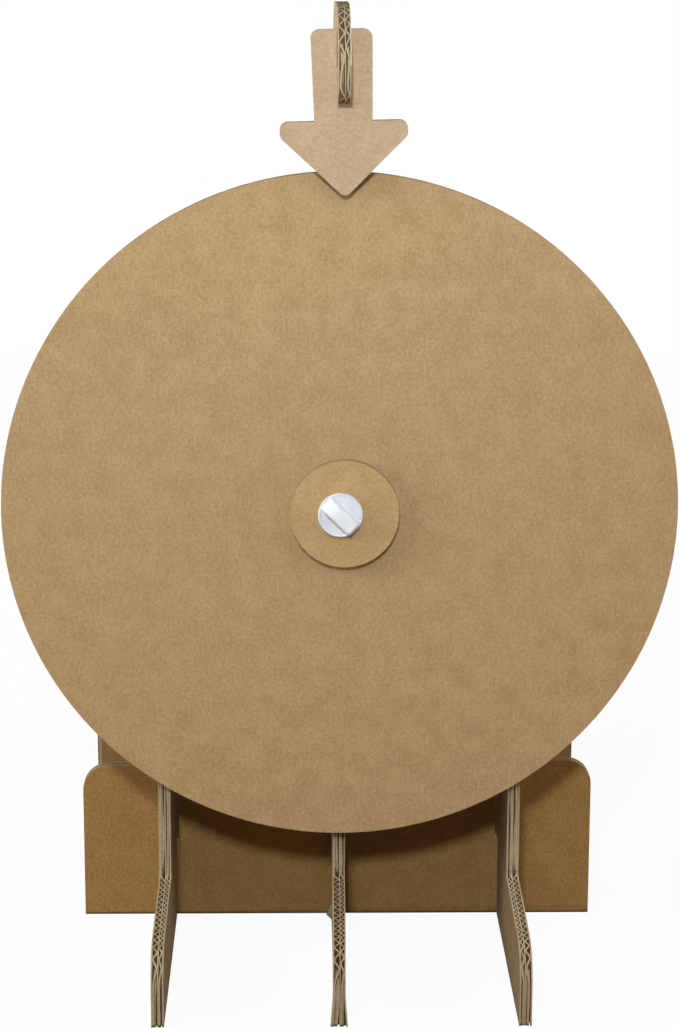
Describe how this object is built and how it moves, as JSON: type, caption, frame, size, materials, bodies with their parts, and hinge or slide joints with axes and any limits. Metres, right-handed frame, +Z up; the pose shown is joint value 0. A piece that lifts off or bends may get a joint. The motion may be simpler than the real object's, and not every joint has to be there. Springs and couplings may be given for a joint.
{
  "type": "tabletop spin wheel",
  "caption": "Upright round game wheel of plain corrugated board that spins on a plastic turn fastener, with a fixed arrow pointer over its rim and a plug-together slotted board stand.",
  "frame": {"origin": "on the floor at the middle of the base, in the plane of the centre fin", "axes": "+Z up, -Y towards the player, +X to the player's right"},
  "size_m": [0.3999, 0.34, 0.58],
  "materials": {
    "kraft_board": "plain brown kraft liner on double-wall corrugated board, cut edges open",
    "white_plastic": "white moulded polypropylene, satin"
  },
  "bodies": {
    "stand": {"centre_fin": "kraft_board", "left_fin": "kraft_board", "right_fin": "kraft_board", "front_cross_board": "kraft_board", "rear_cross_board": "kraft_board", "hub_plate": "kraft_board", "hub_spacer": "kraft_board", "lock_disc": "white_plastic", "pointer_arrow": "kraft_board"},
    "wheel": {"wheel_disc": "kraft_board", "front_washer": "kraft_board", "rear_washer": "kraft_board"},
    "fastener": {"turn_fastener": "white_plastic"}
  },
  "joints": [
    {"name": "wheel_spin", "type": "hinge", "parent": "stand", "child": "wheel", "pos_m": [0, -0.076, 0.285], "axis": [0, -1, 0], "continuous": true},
    {"name": "fastener_turn", "type": "hinge", "parent": "stand", "child": "fastener", "pos_m": [0, -0.076, 0.285], "axis": [0, -1, 0], "range_deg": [0, 90]}
  ]
}
